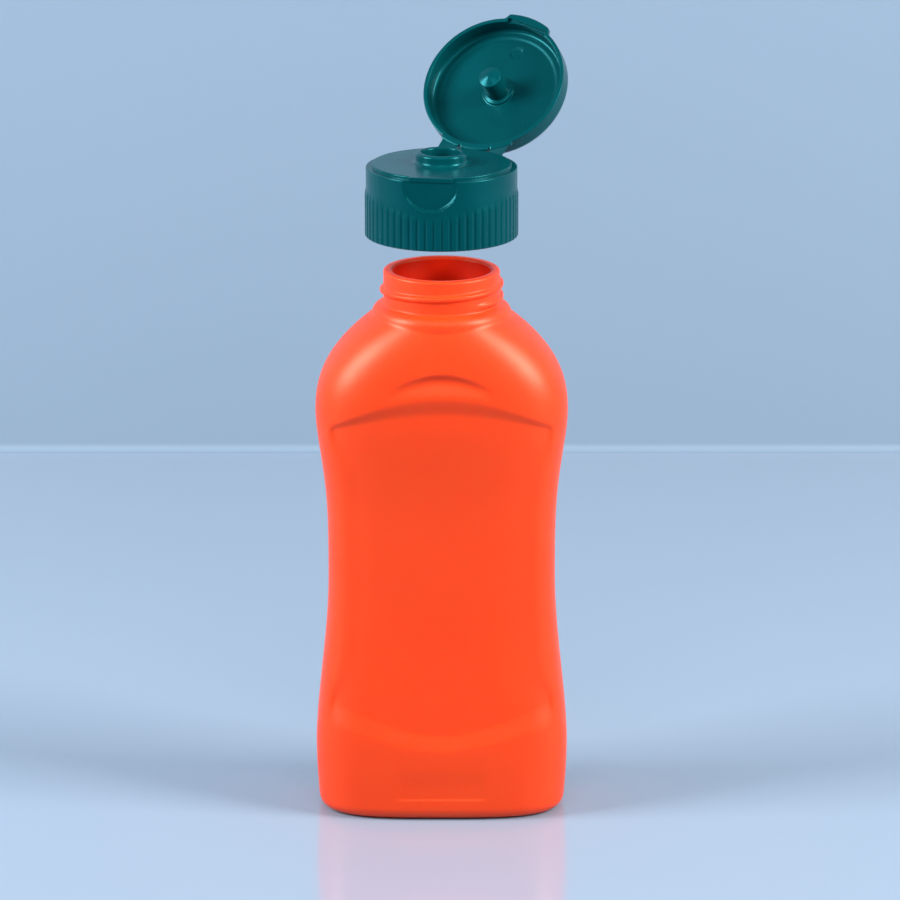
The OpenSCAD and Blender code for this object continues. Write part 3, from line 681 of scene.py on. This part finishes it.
def make_lid(material):
    a = around_angles(lid_columns)
    degrees = np.degrees(a)
    off_tab = np.abs(angle_gap(degrees, tab_turn - 90))
    tab = tab_reach * (1 - ease(off_tab, tab_half_angle - tab_slope, tab_half_angle))
    off_hinge = angle_gap(degrees, 90)
    land = rim_land_reach * (1 - ease(np.abs(off_hinge), rim_land_half_angle - 2, rim_land_half_angle))
    off_slit = np.abs(np.abs(off_hinge) - slit_angle)
    slits = 1 - ease(off_slit, slit_floor, slit_half_angle)
    land = land * (1 - 0.9 * slits)
    rings = []

    def plain(points):
        rings.extend(circle(r, z, a) for r, z in points)

    beside = np.radians(angle_gap(degrees, tab_turn - 90))
    notch_r = (tongue_front + tongue_gap) / np.maximum(np.cos(beside), 0.5)
    notch_half = math.asin((tongue_w / 2 + tongue_gap) / lid_r)
    notch = 1 - ease(np.abs(beside), notch_half, notch_half + 0.02)

    def edge_ring(r, z):
        out = tab * (z <= tab_t) + land * (z <= rim_land_t)
        rings.append(circle(r + out, z, a))

    def inner_ring(r, z):
        """A ring of the inner wall or the rim, cut back by the notch near the rim."""
        cut = notch * (z <= notch_h)
        rings.append(circle(mix(r, np.maximum(r, notch_r + 0.3 * (r - lid_in_r)), cut), z, a))

    step_r = lid_in_r - lid_step_w
    ring_ceiling = lid_ceiling - lid_step_h
    # pin, from its tip to its collar
    tip = lid_ceiling - pin_l
    plain([(0.5, tip + 0.05), (pin_tip_r, tip + 0.55)])
    plain([(pin_r - 0.45, tip + 0.95), (pin_r - 0.25, tip + 1.0)])
    plain([(pin_r - 0.08, tip + 1.08), (pin_r, tip + 1.25), (pin_r, tip + pin_tip_l)])
    plain(subdivided([(pin_r, tip + pin_tip_l + 0.3), (pin_r, lid_ceiling - pin_collar_h - 0.2)], 0.9))
    plain([(pin_r + 0.2, lid_ceiling - pin_collar_h), (pin_collar_r - 0.2, lid_ceiling - pin_collar_h)])
    plain([(pin_collar_r, lid_ceiling - pin_collar_h + 0.2), (pin_collar_r, lid_ceiling - 0.15)])
    plain([(pin_collar_r + 0.15, lid_ceiling)])
    # inner face with the ejector's mark, the thicker ring and the inner wall
    mark_turn = math.radians(tab_turn * 0.6 - 90)
    mark = np.array([ejector_reach * math.cos(mark_turn), ejector_reach * math.sin(mark_turn)])
    reaches = steps(5.4, 10, 4) + steps(10, 15, 22) + steps(15, step_r - 0.5, 4)
    for r in reaches:
        p = circle(r, lid_ceiling, a)
        away = np.hypot(p[:, 0] - mark[0], p[:, 1] - mark[1])
        p[:, 2] += ejector_depth * (1 - ease(away, ejector_r - 0.3, ejector_r + 0.05))
        rings.append(p)
    for t in np.linspace(0, 1, 8):
        rings.append(circle(step_r - 0.9 + 1.4 * t, mix(lid_ceiling, ring_ceiling, ease(t, 0, 1)), a))
    plain([(step_r + 0.7, ring_ceiling)])
    plain(arc(lid_in_r - 1.2, ring_ceiling - 1.2, 1.2, 90, 0, 8))
    plain(subdivided([(lid_in_r, ring_ceiling - 1.4), (lid_in_r, notch_h + 0.5)], 0.8))
    for z in (notch_h + 0.03, notch_h, 0.6, 0.16):
        inner_ring(lid_in_r, z)
    inner_ring(lid_in_r + 0.05, 0.05)
    inner_ring(lid_in_r + 0.16, 0)
    # rim, outer wall with the tab and the hinge's land, rounded edge and top
    edge_ring(lid_r - 0.16, 0)
    edge_ring(lid_r - 0.05, 0.05)
    for z in (0.16, 0.5, 0.8, 1.05, rim_land_t, rim_land_t + 0.02, 1.4, tab_t, tab_t + 0.02, 1.8):
        edge_ring(lid_r, z)
    for z in np.linspace(2.2, lid_h - lid_round - 0.3, 5):
        edge_ring(lid_r, z)
    plain(arc(lid_r - lid_round, lid_h - lid_round, lid_round, 0, 90, 12))
    plain([(r, lid_h) for r in (19, 15, 10, 5, 1.5)])
    points = placed(np.concatenate(rings), lid_place)
    ends = placed([[0, 0, tip], [0, 0, lid_h]], lid_place)
    count = len(points)
    faces = grid_faces(len(rings), lid_columns)
    faces += cap_fan(0, lid_columns, count, True)
    faces += cap_fan(len(rings) - 1, lid_columns, count + 1, False)
    return make_mesh("lid_shell", np.concatenate([points, ends]), faces, material)


# ---- Hinge: a middle strap and two side webs, bowed between the cap and the open lid ----

strip_t, strip_rows, strip_columns = 0.45, 10, 9


def strip(name, low_edge, high_edge, thickness, material, bulge):
    """A thin closed strip from a row of points on the cap to a row of points on the lid."""
    low, high = np.asarray(low_edge, float), np.asarray(high_edge, float)
    outward = np.array([math.sin(math.radians(hinge_turn)), math.cos(math.radians(hinge_turn)), 0.35])
    outward /= np.linalg.norm(outward)
    ways = np.linspace(0, 1, strip_rows)
    sheet = [mix(low, high, t) + outward * bulge * math.sin(math.pi * t) for t in ways]
    front = np.concatenate(sheet)
    back = front + outward * thickness
    rows, cols = strip_rows, len(low)
    size = rows * cols
    faces = []
    for r in range(rows - 1):
        for c in range(cols - 1):
            q = [r * cols + c, r * cols + c + 1, (r + 1) * cols + c + 1, (r + 1) * cols + c]
            faces.append(q)
            faces.append([size + i for i in reversed(q)])
    edge = (
        [(0, c) for c in range(cols)]
        + [(r, cols - 1) for r in range(1, rows)]
        + [(rows - 1, c) for c in range(cols - 2, -1, -1)]
        + [(r, 0) for r in range(rows - 2, 0, -1)]
    )
    loop = [r * cols + c for r, c in edge]
    for i, j in zip(loop, loop[1:] + loop[:1]):
        faces.append([j, i, size + i, size + j])
    return make_mesh(name, np.concatenate([front, back]), faces, material, 40)


def hinge_pieces(material):
    """The strap and the webs, each with the middles of its edges on the cap and on the lid, in metres."""
    pieces = []
    spans = {"hinge_strap": (-10.5, 10.5), "hinge_web_left": (14, 29), "hinge_web_right": (-29, -14)}
    for name, (start, end) in spans.items():
        turns = np.radians(90 + np.linspace(start, end, strip_columns))
        middle = name == "hinge_strap"
        r_low = hinge_r - hinge_gap - 0.35 if middle else cap_r - 0.45
        low = circle(r_low, cap_h - 0.5, turns)
        high = circle(lid_r + 0.1, 0.45, turns)
        if middle:
            # the strap's two edges are straight, so they follow the hinge line
            low[:, 1] = hinge_r - hinge_gap - 0.3
            high[:, 1] = hinge_r - hinge_gap - 0.2
        low, high = placed(low, cap_place), placed(high, lid_place)
        piece = strip(name, low, high, strip_t, material, bulge=0.1 if middle else 0.45)
        pieces.append((piece, low.mean(0) * MM, high.mean(0) * MM))
    return pieces


# ---- Assembly ----

# the inside gets a deeper red base colour: painted light, standing in for the glow of light that has come
# through the wall
orange = orange_plastic("orange_polyethylene", (0.765, 0.044, 0.0052), (0.80, 0.051, 0.0068))
painted_light_orange = orange_plastic("orange_polyethylene_inside_painted_light", (0.76, 0.015, 0.0016), (0.80, 0.019, 0.0022))
teal = teal_plastic()

bottle = make_bottle(orange, painted_light_orange)
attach(bottle, "bottle")
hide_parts("bottle")

cap = make_cap(teal)
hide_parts("cap")
for piece in (cap, make_tongue(teal)):
    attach(piece, "bottle")

lid = make_lid(teal)
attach(lid, "lid")
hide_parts("lid")

for piece, start, end in hinge_pieces(teal):
    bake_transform(piece)


# ---- Stage: a pale floor that meets a plain wall, soft lights and the camera ----

stage_half_w = 3.0


def stage_material(name, low, high, roughness):
    """A matt paint or glossy floor in a slow drift between two colours."""
    material, tree, shader = new_material(name)
    drift = ramp(tree, noise(tree, 3, 2, 0.5), [(0.3, low), (0.7, high)])
    tree.links.new(drift, shader.inputs["Base Color"])
    shader.inputs["Roughness"].default_value = roughness
    shader.inputs["Specular IOR Level"].default_value = 0.5
    return material


def sheet_of(name, profile, material):
    """A wide stage sheet along a (y, z) profile."""
    points = [(side * stage_half_w, y, z) for y, z in profile for side in (-1, 1)]
    faces = [[2 * i, 2 * i + 1, 2 * i + 3, 2 * i + 2] for i in range(len(profile) - 1)]
    mesh = bpy.data.meshes.new(name)
    mesh.from_pydata(points, [], faces)
    mesh.polygons.foreach_set("use_smooth", np.ones(len(faces), bool))
    sheet = bpy.data.objects.new(name, mesh)
    bpy.context.scene.collection.objects.link(sheet)
    mesh.materials.append(material)


def make_stage():
    """A pale floor that meets a plain wall in a small bend."""
    wall_y, bend = 0.40, 0.003
    front, top = -2.4, 2.4
    curve = [(wall_y - bend + bend * math.sin(t), bend - bend * math.cos(t))
             for t in np.radians(np.linspace(0, 90, 9))]
    floor = stage_material("pale_blue_floor", (0.236, 0.302, 0.382), (0.246, 0.312, 0.392), 0.13)
    wall_paint = stage_material("pale_blue_wall", (0.174, 0.245, 0.324), (0.182, 0.253, 0.332), 0.6)
    sheet_of("stage_floor", [(front, 0.0), curve[0]], floor)
    sheet_of("stage_wall", curve + [(wall_y, top)], wall_paint)


def area_light(name, place, target, size, power, colour):
    light = bpy.data.lights.new(name, "AREA")
    light.shape = "RECTANGLE"
    light.size, light.size_y = size
    light.energy = power
    light.color = colour
    lamp = bpy.data.objects.new(name, light)
    lamp.location = place
    lamp.rotation_euler = (Vector(target) - Vector(place)).to_track_quat("-Z", "Y").to_euler()
    bpy.context.scene.collection.objects.link(lamp)


def make_lights():
    aim = (0, 0, 0.11)
    area_light("key_left", (-1.04, -0.30, 0.70), aim, (0.5, 0.6), 25, (0.97, 0.98, 1.0))
    area_light("key_right", (1.02, -0.37, 0.72), aim, (0.5, 0.6), 27, (1.0, 0.98, 0.96))
    area_light("front_fill", (0.0, -1.2, 1.25), aim, (1.2, 0.6), 7.5, (0.97, 0.98, 1.0))
    world = bpy.data.worlds.new("studio_air")
    bpy.context.scene.world = world
    world.use_nodes = True
    air = world.node_tree.nodes["Background"]
    air.inputs["Color"].default_value = (0.70, 0.80, 0.95, 1)
    air.inputs["Strength"].default_value = 0.44


def make_camera():
    """A long lens that looks down a little, aimed near the middle of the whole object."""
    elevation = math.radians(15.5)
    distance = 1.8212
    aim = Vector((0.00253, 0, 0.1113))
    data = bpy.data.cameras.new("camera")
    data.lens = 240
    data.sensor_width = 36
    camera = bpy.data.objects.new("camera", data)
    camera.location = aim + Vector((0, -math.cos(elevation), math.sin(elevation))) * distance
    camera.rotation_euler = (math.pi / 2 - elevation, 0, 0)
    bpy.context.scene.collection.objects.link(camera)
    bpy.context.scene.camera = camera


make_stage()
make_lights()
make_camera()

scene = bpy.context.scene
scene.view_settings.view_transform = "Standard"
